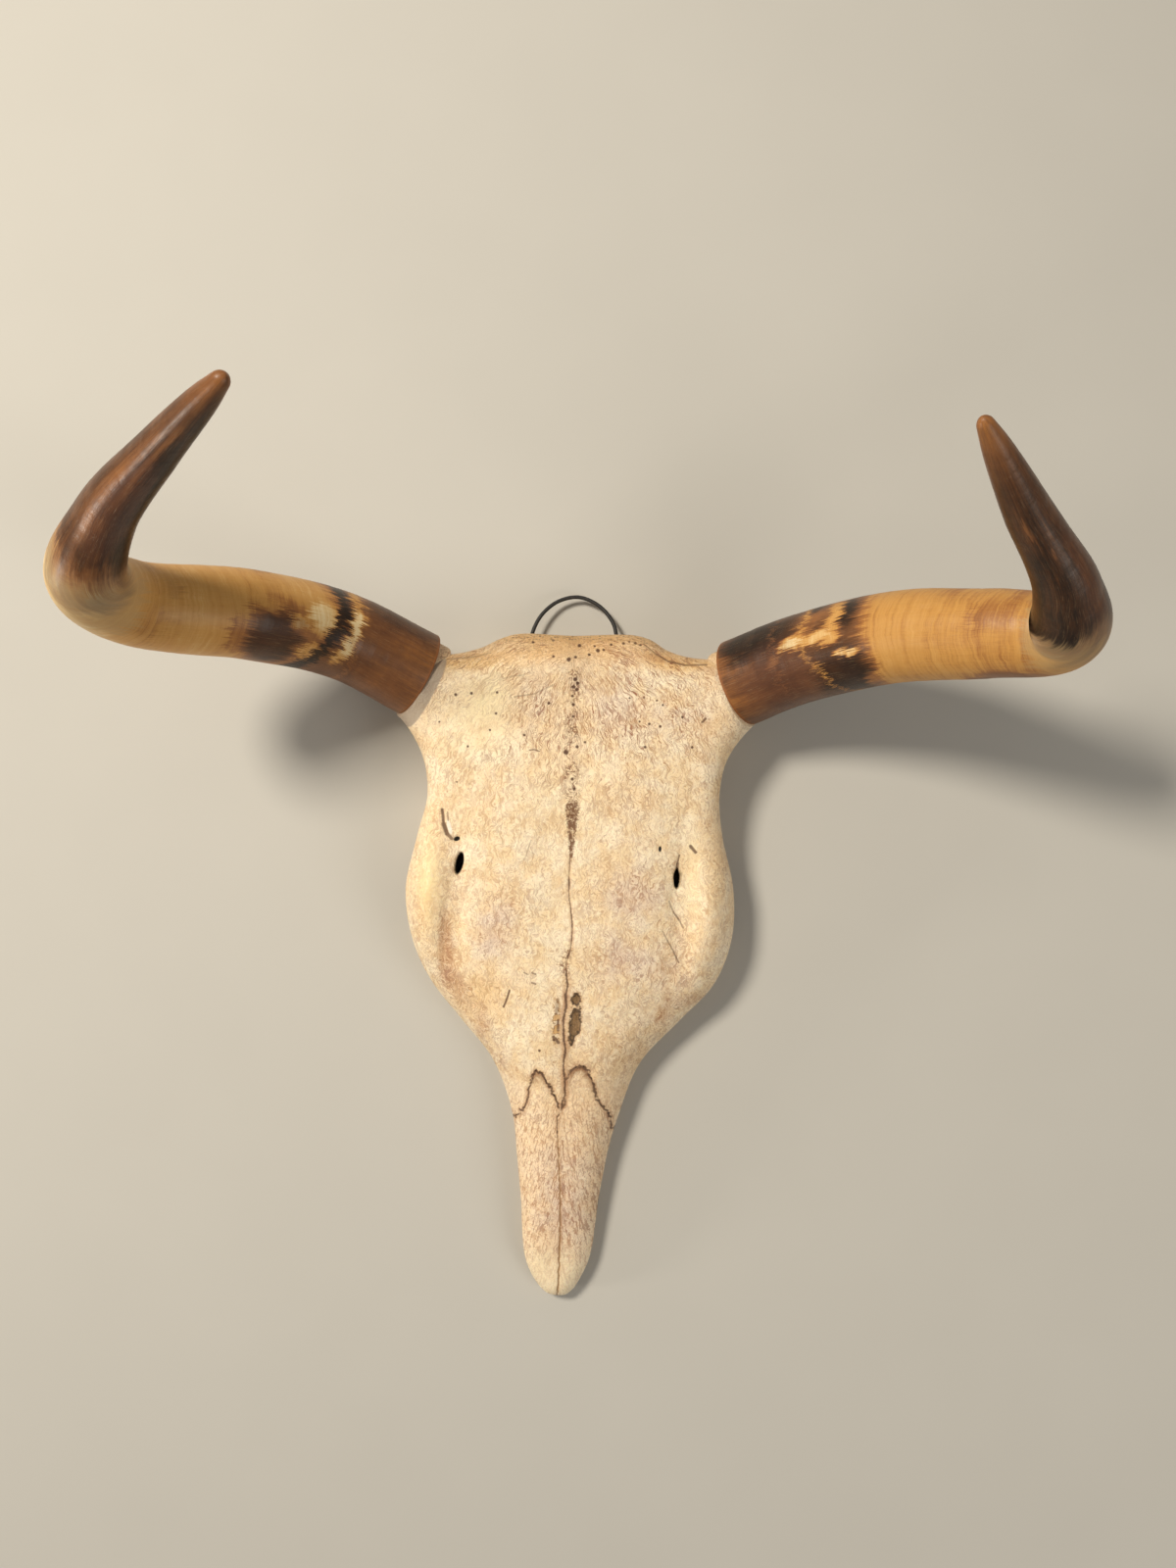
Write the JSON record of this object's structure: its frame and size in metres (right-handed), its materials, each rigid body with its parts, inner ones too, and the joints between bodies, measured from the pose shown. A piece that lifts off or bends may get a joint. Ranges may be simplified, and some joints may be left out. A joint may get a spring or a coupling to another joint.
{
  "type": "longhorn steer skull",
  "caption": "Sawn skull plate of a longhorn steer with both horn sheaths and a wire hanging loop; a wall or table display piece.",
  "frame": {"origin": "centre of the bounding box in plan, at the level of the sawn back that the skull lies on", "axes": "+X across the face towards the right-hand horn as seen, +Y from the nose tip towards the poll, +Z out of the face"},
  "size_m": [0.5922, 0.5486, 0.3152],
  "materials": {
    "bone": "dry, dull bone with fine pores",
    "horn": "polished horn",
    "wire": "dull black"
  },
  "bodies": {
    "root": {"frontal_left": "bone", "frontal_right": "bone", "occipital": "bone", "nasal_left": "bone", "nasal_right": "bone", "horn_left": "horn", "horn_right": "horn", "hanging_wire": "wire"}
  },
  "joints": []
}
